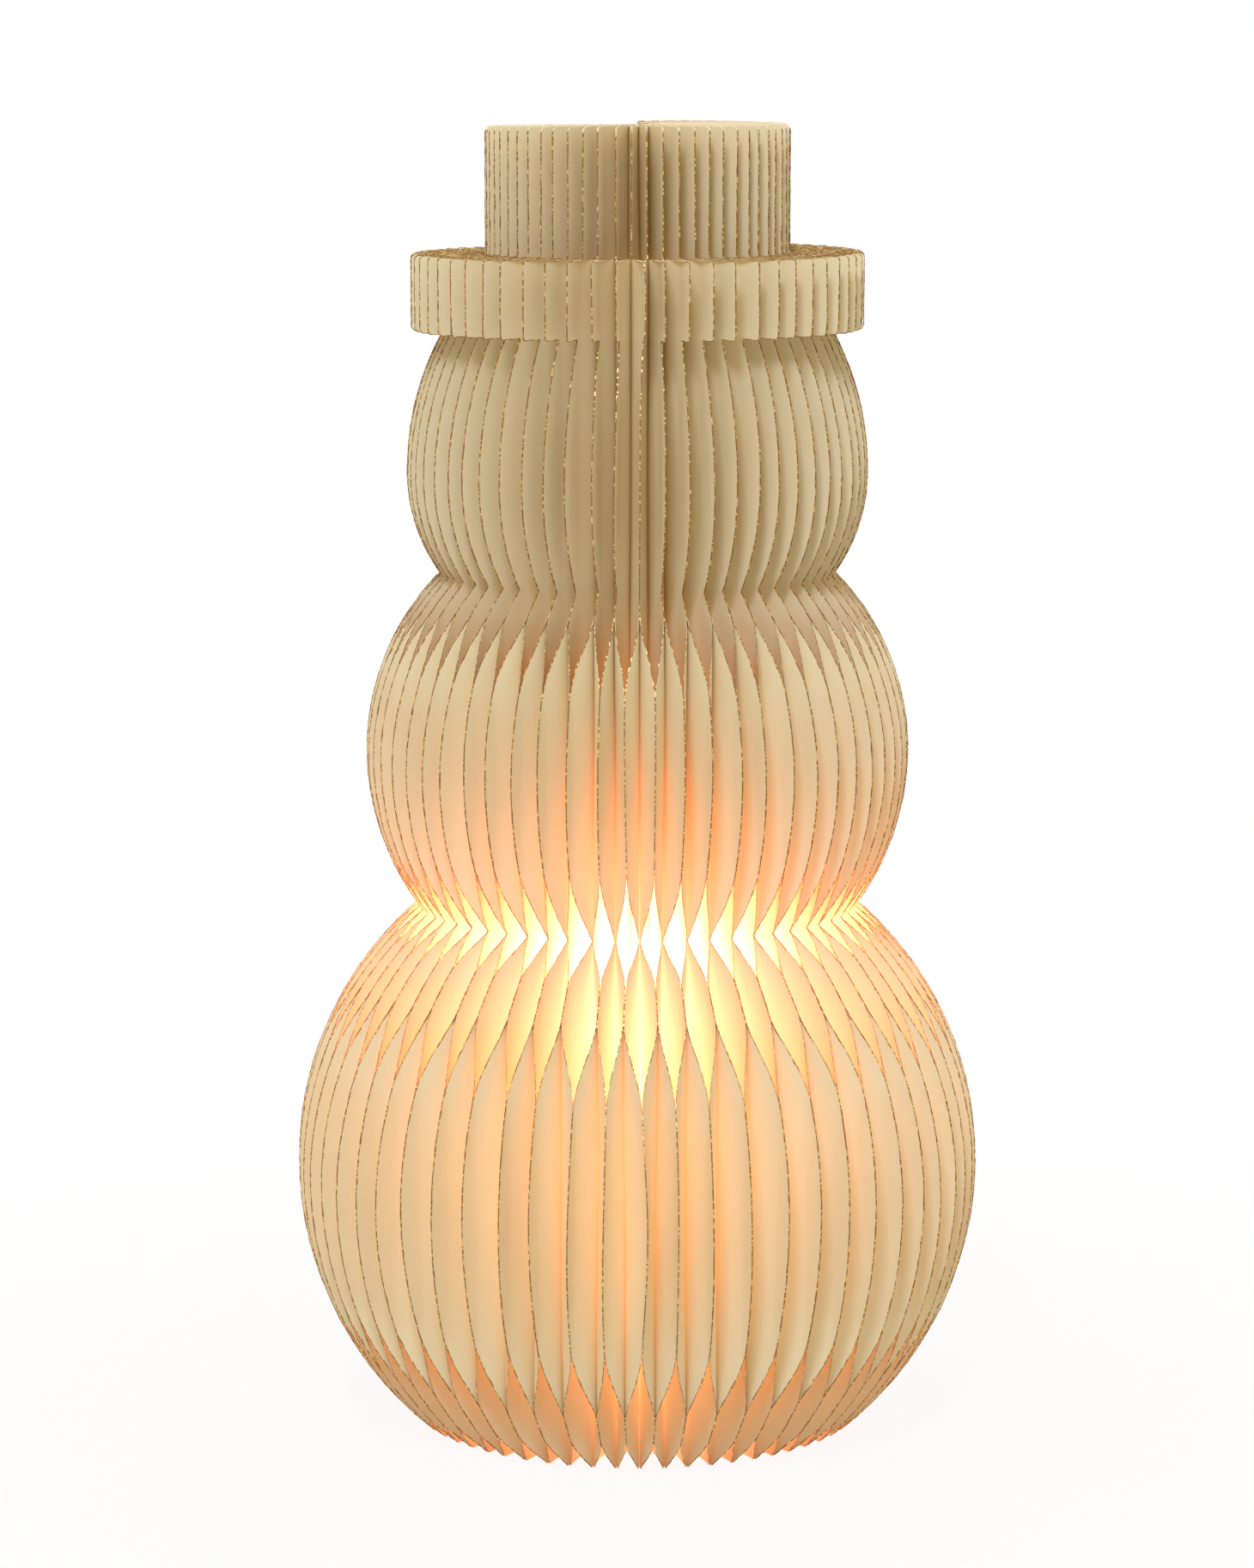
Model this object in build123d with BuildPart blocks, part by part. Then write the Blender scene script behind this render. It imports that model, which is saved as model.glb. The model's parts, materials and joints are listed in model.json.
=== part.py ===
# Folding paper snowman table lamp: a fan of die-cut paper leaves, glued in a
# honeycomb pattern, that stands round a small battery light unit.
# Millimetres, +Z up. The origin is on the table, on the lamp's vertical axis.
# The front of the lamp looks along -Y.

import os
from math import cos, degrees, radians, sin, sqrt

from build123d import *

# Paper body: outline of one leaf. Each rise is the height above the place named before it
BASE_RADIUS = 69.0
BELLY_RADIUS = 105.5
BELLY_RISE = 80.4
WAIST_RADIUS = 67.6
WAIST_RISE = 80.7
CHEST_RADIUS = 83.4
CHEST_RISE = 47.9
NECK_RADIUS = 60.6
NECK_RISE = 54.9
HEAD_RADIUS = 70.5
HEAD_RISE = 30.9
CROWN_RADIUS = 59.4
CROWN_RISE = 43.3
BRIM_RADIUS = 69.0
BRIM_THICKNESS = 23.6
BRIM_CORNER = 1.6
HAT_RADIUS = 46.4
HAT_HEIGHT = 38.3
HAT_CORNER = 2.2

# Paper body: hollow that the light unit stands in
CAVITY_RADIUS = 50.0
CAVITY_HEIGHT = 220.0
CAVITY_CORNER = 22.0

# Paper body: leaves and glue strips
LEAF_COUNT = 120
LEAVES_PER_GROUP = 4
PAPER_THICKNESS = 0.3
GLUE_THICKNESS = 0.06
SPINE_RADIUS = 8.0
FIRST_STRIP_RADIUS = 22.7
STRIP_PITCH = 20.0
STRIP_WIDTH = 8.6
FRONT_AZIMUTH = -90.0
BACK_AZIMUTH = FRONT_AZIMUTH + 180

# Magnets that hold the two ends of the fan together
MAGNET_RADIUS = 3.0
MAGNET_THICKNESS = 1.0
OUTER_MAGNET_STRIP = 2
INNER_MAGNET_STRIP = 0
BASE_MAGNET_HEIGHT = 30.0
WAIST_MAGNET_DROP = 36.0
CHEST_MAGNET_DROP = 2.0
HEAD_MAGNET_RISE = 8.0
HAT_MAGNET_DROP = 20.0

# Light unit: housing and its cover
HOUSING_RADIUS = 32.0
HOUSING_WALL = 2.4
DECK_THICKNESS = 2.4
FOOT_RADIUS = 4.0
FOOT_HEIGHT = 3.0
FOOT_INSET = 9.0
COVER_THICKNESS = 2.4
RIM_HEIGHT = 3.6
FIT_CLEARANCE = 0.3
SCREW_RADIUS = 1.25
SCREW_LENGTH = 8.0
SCREW_HEAD_RADIUS = 2.4
SCREW_HEAD_HEIGHT = 1.4
SCREW_INSET = 7.5
SCREW_DROP = 10.0
BOSS_WALL = 1.6

# Light unit: cells and contacts
CELL_RADIUS = 7.25
CELL_LENGTH = 49.3
CELL_TIP_RADIUS = 2.6
CELL_TIP_HEIGHT = 1.2
CELL_INSET = 10.5
CELL_STEP = 42.0
CELL_COUNT = 3
SPRING_HEIGHT = 3.0
SPRING_TOP_RADIUS = 2.6
CONTACT_THICKNESS = 0.4
CONTACT_WIDTH = 9.0
CRADLE_FRONT = 3.5
CRADLE_CLEARANCE = 0.3

# Light unit: sliding battery door
DOOR_SPAN = 150.0
TONGUE_THICKNESS = 0.7
TONGUE_SPAN = 2.4
GRIP_COUNT = 3
GRIP_REACH = 0.7
GRIP_HEIGHT = 1.4
GRIP_PITCH = 3.0
GRIP_DROP = 6.0
GRIP_WIDTH = 14.0

# Light unit: driver board and switch
BOARD_WIDTH = 34.0
BOARD_HEIGHT = 36.0
BOARD_THICKNESS = 1.6
CHIP_COUNT = 3
CHIP_PITCH = 10.0
CHIP_SIZE = 6.0
CHIP_HEIGHT = 1.4
PLUG_WIDTH = 6.0
PLUG_DEPTH = 3.6
PLUG_HEIGHT = 5.0
PLUG_DROP = 2.0
SWITCH_WIDTH = 7.0
SWITCH_HEIGHT = 16.0
SWITCH_DEPTH = 6.0
SWITCH_CENTRE = 34.0
SWITCH_TRAVEL = 4.0
KNOB_WIDTH = 3.4
KNOB_HEIGHT = 4.0
KNOB_REACH = 2.2
KNOB_RIB = 0.5

# Light unit: stem, holder, emitters and globe
STEM_RADIUS = 5.0
STEM_BORE_RADIUS = 3.8
STEM_SEAT_DEPTH = 7.0
STEM_SEAT_WALL = 2.6
WIRE_RADIUS = 0.6
WIRE_OFFSET = 1.3
WIRE_FRONT = -2.4
GLOBE_RADIUS = 22.5
GLOBE_HEIGHT = 147.0
GLOBE_WALL = 1.3
NECK_BORE_RADIUS = 12.4
NECK_LENGTH = 7.0
HOLDER_FLANGE = 2.6
HOLDER_THICKNESS = 3.0
COLLAR_WALL = 1.4
COLLAR_CLEARANCE = 0.25
LED_BOARD_THICKNESS = 1.6
LED_SIZE = 2.8
LED_HEIGHT = 0.8
LED_CIRCLE = 5.0
LED_COUNT = 5
LUG_WIDTH = 3.0
LUG_HEIGHT = 2.0
LUG_CLEARANCE = 0.25
GLOBE_TURN = 60.0

# How far a cut runs on past the face that it opens, and how near counts as the same place
OVERCUT = 1.0
SAME_PLACE = 0.01

# Sizes that follow from the ones above
LEAF_STEP = 360.0 / LEAF_COUNT
GROUP_COUNT = LEAF_COUNT // LEAVES_PER_GROUP
GLUED_OFFSET = (PAPER_THICKNESS + GLUE_THICKNESS) / 2
BELLY_HEIGHT = BELLY_RISE
WAIST_HEIGHT = BELLY_HEIGHT + WAIST_RISE
CHEST_HEIGHT = WAIST_HEIGHT + CHEST_RISE
NECK_HEIGHT = CHEST_HEIGHT + NECK_RISE
HEAD_HEIGHT = NECK_HEIGHT + HEAD_RISE
BRIM_BOTTOM = HEAD_HEIGHT + CROWN_RISE
BRIM_TOP = BRIM_BOTTOM + BRIM_THICKNESS
TOTAL_HEIGHT = BRIM_TOP + HAT_HEIGHT
HOUSING_BORE = HOUSING_RADIUS - HOUSING_WALL
FOOT_REACH = HOUSING_RADIUS - FOOT_INSET
SCREW_REACH = HOUSING_RADIUS - SCREW_INSET
CELL_REACH = HOUSING_RADIUS - CELL_INSET
COVER_TOP = FOOT_HEIGHT + COVER_THICKNESS
RIM_TOP = FOOT_HEIGHT + RIM_HEIGHT
CELL_BOTTOM = COVER_TOP + SPRING_HEIGHT
CELL_TOP = CELL_BOTTOM + CELL_LENGTH + CELL_TIP_HEIGHT
DECK_BOTTOM = CELL_TOP + CONTACT_THICKNESS
DECK_TOP = DECK_BOTTOM + DECK_THICKNESS
STEM_SEAT_TOP = DECK_TOP + STEM_SEAT_DEPTH
SWITCH_FRONT = FIT_CLEARANCE / 2 - sqrt(HOUSING_BORE**2 - (SWITCH_WIDTH / 2) ** 2)
BOARD_FRONT = SWITCH_FRONT + SWITCH_DEPTH
BOARD_REAR = BOARD_FRONT + BOARD_THICKNESS
PLUG_CENTRE = COVER_TOP + BOARD_HEIGHT - PLUG_DROP - PLUG_HEIGHT / 2
SLOT_WIDTH = KNOB_WIDTH + 2 * FIT_CLEARANCE
SLOT_HEIGHT = KNOB_HEIGHT + SWITCH_TRAVEL + 2 * FIT_CLEARANCE
TONGUE_RADIUS = (HOUSING_BORE + HOUSING_RADIUS) / 2
NECK_BOTTOM = GLOBE_HEIGHT - sqrt(GLOBE_RADIUS**2 - (NECK_BORE_RADIUS + GLOBE_WALL) ** 2) - NECK_LENGTH
COLLAR_RADIUS = NECK_BORE_RADIUS - COLLAR_CLEARANCE
HOLDER_TOP = NECK_BOTTOM - FIT_CLEARANCE
HOLDER_BOTTOM = HOLDER_TOP - HOLDER_THICKNESS
HOLDER_RADIUS = NECK_BORE_RADIUS + GLOBE_WALL + HOLDER_FLANGE
LED_BOARD_RADIUS = COLLAR_RADIUS - COLLAR_WALL - FIT_CLEARANCE
COLLAR_TOP = HOLDER_TOP + NECK_LENGTH - COLLAR_CLEARANCE
LUG_MIDDLE = (HOLDER_TOP + COLLAR_TOP) / 2

os.makedirs("parts", exist_ok=True)


def save(part, name):
    """Labels a finished piece and writes it under its name."""
    part.label = name
    export_step(part, f"parts/{name}.step")


def strip_centre(number):
    """Radius of the middle of a glue strip, counted outwards from the spine."""
    return FIRST_STRIP_RADIUS + number * STRIP_PITCH


def centre_line():
    """Plan of a leaf's middle surface, as (radius, sideways) points.

    Even strips glue the leaf to its neighbour on the right, odd ones to its neighbour on the left.
    """
    half_step = radians(LEAF_STEP / 2)
    points = [(SPINE_RADIUS, 0.0)]
    reach = SPINE_RADIUS
    number = 0
    while reach < max(BELLY_RADIUS, CHEST_RADIUS, HEAD_RADIUS, BRIM_RADIUS):
        side = -1 if number % 2 == 0 else 1
        for end in (-STRIP_WIDTH / 2, STRIP_WIDTH / 2):
            radius = strip_centre(number) + end
            sideways = radius * sin(half_step) - GLUED_OFFSET * cos(half_step)
            reach = radius * cos(half_step) + GLUED_OFFSET * sin(half_step)
            points.append((reach, side * sideways))
        number += 1
    return points


def make_leaf():
    """One paper leaf that runs out along +X: a pleated sheet cut to the snowman's outline."""
    line = centre_line()
    half = PAPER_THICKNESS / 2
    near_side = [(radius, sideways + half) for radius, sideways in line]
    far_side = [(radius, sideways - half) for radius, sideways in reversed(line)]
    with BuildPart() as leaf:
        with BuildSketch(Plane.XY):
            with BuildLine():
                Polyline(*near_side, *far_side, close=True)
            make_face()
        extrude(amount=TOTAL_HEIGHT)
        with BuildSketch(Plane.XZ) as outline:
            with BuildLine():
                Line((CAVITY_RADIUS, 0), (BASE_RADIUS, 0))
                TangentArc((BELLY_RADIUS, BELLY_HEIGHT), (BASE_RADIUS, 0), tangent=(0, -1))
                TangentArc((BELLY_RADIUS, BELLY_HEIGHT), (WAIST_RADIUS, WAIST_HEIGHT), tangent=(0, 1))
                TangentArc((CHEST_RADIUS, CHEST_HEIGHT), (WAIST_RADIUS, WAIST_HEIGHT), tangent=(0, -1))
                TangentArc((CHEST_RADIUS, CHEST_HEIGHT), (NECK_RADIUS, NECK_HEIGHT), tangent=(0, 1))
                TangentArc((HEAD_RADIUS, HEAD_HEIGHT), (NECK_RADIUS, NECK_HEIGHT), tangent=(0, -1))
                TangentArc((HEAD_RADIUS, HEAD_HEIGHT), (CROWN_RADIUS, BRIM_BOTTOM), tangent=(0, 1))
                Polyline(
                    (CROWN_RADIUS, BRIM_BOTTOM),
                    (BRIM_RADIUS, BRIM_BOTTOM),
                    (BRIM_RADIUS, BRIM_TOP),
                    (HAT_RADIUS, BRIM_TOP),
                    (HAT_RADIUS, TOTAL_HEIGHT),
                    (SPINE_RADIUS, TOTAL_HEIGHT),
                    (SPINE_RADIUS, CAVITY_HEIGHT),
                    (CAVITY_RADIUS, CAVITY_HEIGHT),
                    (CAVITY_RADIUS, 0),
                )
            make_face()
            corners = outline.vertices()
            brim_edge = corners.filter_by(lambda v: v.X > BRIM_RADIUS - SAME_PLACE and v.Y >= BRIM_BOTTOM)
            fillet(brim_edge, BRIM_CORNER)
            hat_edge = corners.filter_by(
                lambda v: v.X > HAT_RADIUS - SAME_PLACE and v.Y > TOTAL_HEIGHT - SAME_PLACE
            )
            fillet(hat_edge, HAT_CORNER)
            ceiling = corners.filter_by(
                lambda v: abs(v.X - CAVITY_RADIUS) < SAME_PLACE and abs(v.Y - CAVITY_HEIGHT) < SAME_PLACE
            )
            fillet(ceiling, CAVITY_CORNER)
        extrude(amount=STRIP_PITCH, both=True, mode=Mode.INTERSECT)
    return leaf.part


def make_leaf_groups():
    """The whole fan, as numbered groups of neighbouring leaves, counted from the seam at the front."""
    right_leaf = make_leaf()
    left_leaf = right_leaf.mirror(Plane.XZ)
    for group in range(GROUP_COUNT):
        leaves = []
        for place in range(LEAVES_PER_GROUP):
            number = group * LEAVES_PER_GROUP + place
            leaf = right_leaf if number % 2 == 0 else left_leaf
            azimuth = FRONT_AZIMUTH + (number + 0.5) * LEAF_STEP
            leaves.append(leaf.rotate(Axis.Z, azimuth).solid())
        save(Compound(leaves), f"paper_leaves_{group + 1:02d}")


def make_magnets():
    """Thin magnets glued inside the two end leaves, which pull the ends of the fan together."""
    leaf_back = GLUE_THICKNESS / 2 + PAPER_THICKNESS
    outer_heights = (BASE_MAGNET_HEIGHT, WAIST_HEIGHT - WAIST_MAGNET_DROP, CHEST_HEIGHT - CHEST_MAGNET_DROP)
    inner_heights = (HEAD_HEIGHT + HEAD_MAGNET_RISE, TOTAL_HEIGHT - HAT_MAGNET_DROP)
    for side, name in ((1, "seam_magnets_right"), (-1, "seam_magnets_left")):
        face = Plane(origin=(side * leaf_back, 0, 0), x_dir=(0, -1, 0), z_dir=(side, 0, 0))
        up = 1 if face.y_dir.Z > 0 else -1
        with BuildPart() as magnets:
            with BuildSketch(face):
                for height in outer_heights:
                    with Locations((strip_centre(OUTER_MAGNET_STRIP), up * height)):
                        Circle(MAGNET_RADIUS)
                for height in inner_heights:
                    with Locations((strip_centre(INNER_MAGNET_STRIP), up * height)):
                        Circle(MAGNET_RADIUS)
            extrude(amount=MAGNET_THICKNESS)
        save(magnets.part, name)


def ring_sector(inner, outer, middle, span):
    """A piece of a ring: its two radii, the azimuth of its middle and its span in degrees."""
    start = middle - span / 2
    with BuildSketch() as sector:
        with BuildLine():
            CenterArc((0, 0), outer, start, span)
            CenterArc((0, 0), inner, start, span)
            for azimuth in (radians(start), radians(start + span)):
                across = cos(azimuth)
                back = sin(azimuth)
                Line((inner * across, inner * back), (outer * across, outer * back))
        make_face()
    return sector.sketch


def screw_places():
    """One screw on each side of the cover, a little in front of its middle."""
    azimuth = radians(-SCREW_DROP)
    across = SCREW_REACH * cos(azimuth)
    back = SCREW_REACH * sin(azimuth)
    return [(across, back), (-across, back)]


def cell_places():
    """The cells stand in an arc at the back of the housing."""
    first = BACK_AZIMUTH - CELL_STEP * (CELL_COUNT - 1) / 2
    angles = [first + CELL_STEP * number for number in range(CELL_COUNT)]
    return [(CELL_REACH * cos(radians(a)), CELL_REACH * sin(radians(a))) for a in angles]


def make_housing():
    """The drum of the light unit: wall, deck, rim under the door, screw bosses and the stem's seat."""
    groove_half = TONGUE_THICKNESS / 2 + FIT_CLEARANCE / 2
    door_gap = degrees(FIT_CLEARANCE / HOUSING_RADIUS)
    with BuildPart() as housing:
        with BuildSketch(Plane.XY.offset(FOOT_HEIGHT)):
            Circle(HOUSING_RADIUS)
        extrude(amount=DECK_TOP - FOOT_HEIGHT)
        with BuildSketch(Plane.XY.offset(FOOT_HEIGHT)):
            Circle(HOUSING_BORE)
        extrude(amount=DECK_BOTTOM - FOOT_HEIGHT, mode=Mode.SUBTRACT)
        # Doorway, open at the top so that the door lifts out, with a groove for each tongue
        with BuildSketch(Plane.XY.offset(RIM_TOP)):
            add(ring_sector(HOUSING_BORE - FIT_CLEARANCE, HOUSING_RADIUS + OVERCUT, BACK_AZIMUTH,
                            DOOR_SPAN + 2 * door_gap))
            add(ring_sector(TONGUE_RADIUS - groove_half, TONGUE_RADIUS + groove_half, BACK_AZIMUTH,
                            DOOR_SPAN + 2 * TONGUE_SPAN + 4 * door_gap))
        extrude(amount=DECK_TOP - RIM_TOP, mode=Mode.SUBTRACT)
        # Seat for the stem
        with BuildSketch(Plane.XY.offset(DECK_TOP)):
            Circle(STEM_RADIUS + STEM_SEAT_WALL)
        extrude(amount=STEM_SEAT_DEPTH)
        with BuildSketch(Plane.XY.offset(DECK_TOP)):
            Circle(STEM_RADIUS + FIT_CLEARANCE / 2)
        extrude(amount=STEM_SEAT_DEPTH, mode=Mode.SUBTRACT)
        with BuildSketch(Plane.XY.offset(DECK_BOTTOM)):
            Circle(STEM_BORE_RADIUS)
        extrude(amount=DECK_THICKNESS, mode=Mode.SUBTRACT)
        # Screw bosses, which stand inside the wall
        boss_height = SCREW_LENGTH - COVER_THICKNESS + BOSS_WALL
        with BuildSketch(Plane.XY.offset(COVER_TOP)):
            for across, back in screw_places():
                with Locations((across, back)):
                    Circle(SCREW_RADIUS + BOSS_WALL)
                side = 1 if across > 0 else -1
                web = HOUSING_RADIUS - HOUSING_WALL / 2 - abs(across)
                with Locations((across + side * web / 2, back)):
                    Rectangle(web, 2 * BOSS_WALL)
        extrude(amount=boss_height)
        with BuildSketch(Plane.XY.offset(COVER_TOP)):
            with Locations(*screw_places()):
                Circle(SCREW_RADIUS)
        extrude(amount=boss_height - BOSS_WALL, mode=Mode.SUBTRACT)
        # Slot that the switch knob slides in
        with BuildSketch(Plane.XZ.offset(HOUSING_BORE - OVERCUT)):
            with Locations((0, SWITCH_CENTRE)):
                Rectangle(SLOT_WIDTH, SLOT_HEIGHT)
        extrude(amount=HOUSING_WALL + 2 * OVERCUT, mode=Mode.SUBTRACT)
    save(housing.part, "light_unit_housing")


def make_cover():
    """Round bottom cover inside the housing's rim, with countersinks for its screws."""
    with BuildPart() as cover:
        with BuildSketch(Plane.XY.offset(FOOT_HEIGHT)):
            Circle(HOUSING_BORE - FIT_CLEARANCE)
        extrude(amount=COVER_THICKNESS)
        with BuildSketch(Plane.XY.offset(FOOT_HEIGHT)):
            with Locations(*screw_places()):
                Circle(SCREW_RADIUS + FIT_CLEARANCE / 2)
        extrude(amount=COVER_THICKNESS, mode=Mode.SUBTRACT)
        with BuildSketch(Plane.XY.offset(FOOT_HEIGHT)):
            with Locations(*screw_places()):
                Circle(SCREW_HEAD_RADIUS + FIT_CLEARANCE / 2)
        extrude(amount=SCREW_HEAD_HEIGHT, mode=Mode.SUBTRACT)
    save(cover.part, "bottom_cover")

    with BuildPart() as feet:
        with BuildSketch():
            with PolarLocations(FOOT_REACH, 3, start_angle=BACK_AZIMUTH):
                Circle(FOOT_RADIUS)
        extrude(amount=FOOT_HEIGHT)
    save(feet.part, "rubber_feet")

    with BuildPart() as screws:
        with BuildSketch(Plane.XY.offset(FOOT_HEIGHT)):
            with Locations(*screw_places()):
                Circle(SCREW_HEAD_RADIUS)
        extrude(amount=SCREW_HEAD_HEIGHT)
        with BuildSketch(Plane.XY.offset(FOOT_HEIGHT + SCREW_HEAD_HEIGHT)):
            with Locations(*screw_places()):
                Circle(SCREW_RADIUS)
        extrude(amount=SCREW_LENGTH - SCREW_HEAD_HEIGHT)
    save(screws.part, "cover_screws")


def make_door():
    """Curved battery door, with a tongue on each side edge and three grip ribs."""
    tongue_half = TONGUE_THICKNESS / 2
    with BuildPart() as door:
        with BuildSketch(Plane.XY.offset(RIM_TOP)):
            add(ring_sector(HOUSING_BORE, HOUSING_RADIUS, BACK_AZIMUTH, DOOR_SPAN))
            add(ring_sector(TONGUE_RADIUS - tongue_half, TONGUE_RADIUS + tongue_half, BACK_AZIMUTH,
                            DOOR_SPAN + 2 * TONGUE_SPAN))
        extrude(amount=DECK_TOP - RIM_TOP)
        grip_span = degrees(GRIP_WIDTH / HOUSING_RADIUS)
        for number in range(GRIP_COUNT):
            with BuildSketch(Plane.XY.offset(DECK_TOP - GRIP_DROP - number * GRIP_PITCH)):
                add(ring_sector(TONGUE_RADIUS, HOUSING_RADIUS + GRIP_REACH, BACK_AZIMUTH, grip_span))
            extrude(amount=GRIP_HEIGHT)
    save(door.part, "battery_door")


def make_cells():
    """Three cells with their contacts, and the cradle that holds them upright."""
    places = cell_places()
    for number, place in enumerate(places):
        with BuildPart() as cell:
            with BuildSketch(Plane.XY.offset(CELL_BOTTOM)):
                with Locations(place):
                    Circle(CELL_RADIUS)
            extrude(amount=CELL_LENGTH)
            with BuildSketch(Plane.XY.offset(CELL_BOTTOM + CELL_LENGTH)):
                with Locations(place):
                    Circle(CELL_TIP_RADIUS)
            extrude(amount=CELL_TIP_HEIGHT)
        save(cell.part, f"cell_{number + 1}")

    with BuildPart() as springs:
        with BuildSketch(Plane.XY.offset(COVER_TOP)):
            with Locations(*places):
                Circle(CONTACT_WIDTH / 2)
        extrude(amount=CONTACT_THICKNESS)
        with BuildSketch(Plane.XY.offset(COVER_TOP + CONTACT_THICKNESS)):
            with Locations(*places):
                Circle(SPRING_TOP_RADIUS)
        extrude(amount=SPRING_HEIGHT - CONTACT_THICKNESS)
    save(springs.part, "contact_springs")

    with BuildPart() as plates:
        with BuildSketch(Plane.XY.offset(CELL_TOP)):
            with Locations(*places):
                Rectangle(CONTACT_WIDTH, CONTACT_WIDTH)
        extrude(amount=CONTACT_THICKNESS)
    save(plates.part, "contact_plates")

    with BuildPart() as cradle:
        with BuildSketch(Plane.XY.offset(COVER_TOP)):
            Circle(CELL_REACH)
            with Locations((0, CRADLE_FRONT - HOUSING_RADIUS)):
                Rectangle(2 * HOUSING_RADIUS, 2 * HOUSING_RADIUS, mode=Mode.SUBTRACT)
            with Locations(*places):
                Circle(CELL_RADIUS + CRADLE_CLEARANCE, mode=Mode.SUBTRACT)
        extrude(amount=DECK_BOTTOM - COVER_TOP)
    save(cradle.part, "battery_cradle")


def make_driver():
    """Driver board with its chips and wire plug, which stands on the cover behind the switch."""
    with BuildPart() as board:
        with BuildSketch(Plane.XY.offset(COVER_TOP)):
            with Locations((0, (BOARD_FRONT + BOARD_REAR) / 2)):
                Rectangle(BOARD_WIDTH, BOARD_THICKNESS)
        extrude(amount=BOARD_HEIGHT)
    save(board.part, "driver_board")

    rear_face = Plane.XZ.offset(-BOARD_REAR)
    with BuildPart() as chips:
        with BuildSketch(rear_face):
            with Locations((0, COVER_TOP + BOARD_HEIGHT / 3)):
                with GridLocations(CHIP_PITCH, CHIP_PITCH, CHIP_COUNT, 1):
                    Rectangle(CHIP_SIZE, CHIP_SIZE)
        extrude(amount=-CHIP_HEIGHT)
    save(chips.part, "driver_chips")

    with BuildPart() as plug:
        with BuildSketch(rear_face):
            with Locations((0, PLUG_CENTRE)):
                Rectangle(PLUG_WIDTH, PLUG_HEIGHT)
        extrude(amount=-PLUG_DEPTH)
    save(plug.part, "wire_plug")


def make_switch():
    """Slide switch behind the front wall, with its ribbed knob shown at the on end."""
    pocket_depth = KNOB_REACH
    with BuildPart() as body:
        with BuildSketch(Plane.XZ.offset(-BOARD_FRONT)):
            with Locations((0, SWITCH_CENTRE)):
                Rectangle(SWITCH_WIDTH, SWITCH_HEIGHT)
        extrude(amount=SWITCH_DEPTH)
        with BuildSketch(Plane.XZ.offset(-SWITCH_FRONT)):
            with Locations((0, SWITCH_CENTRE)):
                Rectangle(SLOT_WIDTH, SLOT_HEIGHT)
        extrude(amount=-pocket_depth, mode=Mode.SUBTRACT)
    save(body.part, "switch_body")

    knob_back = -SWITCH_FRONT - pocket_depth + FIT_CLEARANCE
    knob_face = HOUSING_RADIUS + KNOB_REACH
    knob_centre = SWITCH_CENTRE + SWITCH_TRAVEL / 2
    with BuildPart() as knob:
        with BuildSketch(Plane.XZ.offset(knob_back)):
            with Locations((0, knob_centre)):
                Rectangle(KNOB_WIDTH, KNOB_HEIGHT)
        extrude(amount=knob_face - knob_back)
        with BuildSketch(Plane.XZ.offset(knob_face)):
            with Locations((0, knob_centre)):
                with GridLocations(1, 3 * KNOB_RIB, 1, 2):
                    Rectangle(KNOB_WIDTH, KNOB_RIB)
        extrude(amount=KNOB_RIB)
    save(knob.part, "switch_knob")


def make_stem():
    """Stem tube, the holder on top of it, and the two wires that run up inside."""
    with BuildPart() as stem:
        with BuildSketch(Plane.XY.offset(DECK_TOP)):
            Circle(STEM_RADIUS)
            Circle(STEM_BORE_RADIUS, mode=Mode.SUBTRACT)
        extrude(amount=HOLDER_BOTTOM - DECK_TOP)
    save(stem.part, "stem_tube")

    with BuildPart() as holder:
        with BuildSketch(Plane.XY.offset(HOLDER_BOTTOM - STEM_SEAT_DEPTH)):
            Circle(STEM_RADIUS + STEM_SEAT_WALL)
            Circle(STEM_RADIUS + FIT_CLEARANCE / 2, mode=Mode.SUBTRACT)
        extrude(amount=STEM_SEAT_DEPTH)
        with BuildSketch(Plane.XY.offset(HOLDER_BOTTOM)):
            Circle(HOLDER_RADIUS)
            Circle(STEM_BORE_RADIUS, mode=Mode.SUBTRACT)
        extrude(amount=HOLDER_THICKNESS)
        with BuildSketch(Plane.XY.offset(HOLDER_TOP)):
            Circle(COLLAR_RADIUS)
            Circle(COLLAR_RADIUS - COLLAR_WALL, mode=Mode.SUBTRACT)
        extrude(amount=COLLAR_TOP - HOLDER_TOP)
        lug_span = degrees(LUG_WIDTH / COLLAR_RADIUS)
        with BuildSketch(Plane.XY.offset(LUG_MIDDLE - LUG_HEIGHT / 2)):
            for azimuth in (0, 180):
                add(ring_sector(COLLAR_RADIUS - COLLAR_WALL / 2, NECK_BORE_RADIUS + GLOBE_WALL / 2,
                                azimuth, lug_span))
        extrude(amount=LUG_HEIGHT)
    save(holder.part, "globe_holder")

    plug_back = BOARD_REAR + PLUG_DEPTH
    with BuildPart() as wires:
        for across in (-WIRE_OFFSET, WIRE_OFFSET):
            start = (across, plug_back, PLUG_CENTRE)
            bend = 0.45 * (WIRE_FRONT - plug_back)
            with BuildLine() as path:
                FilletPolyline(
                    start,
                    (across, WIRE_FRONT, PLUG_CENTRE),
                    (across, WIRE_FRONT, HOLDER_TOP),
                    radius=bend,
                )
            with BuildSketch(Plane(origin=start, z_dir=(0, 1, 0))):
                Circle(WIRE_RADIUS)
            sweep(path=path.line)
    save(wires.part, "led_wires")


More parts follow.
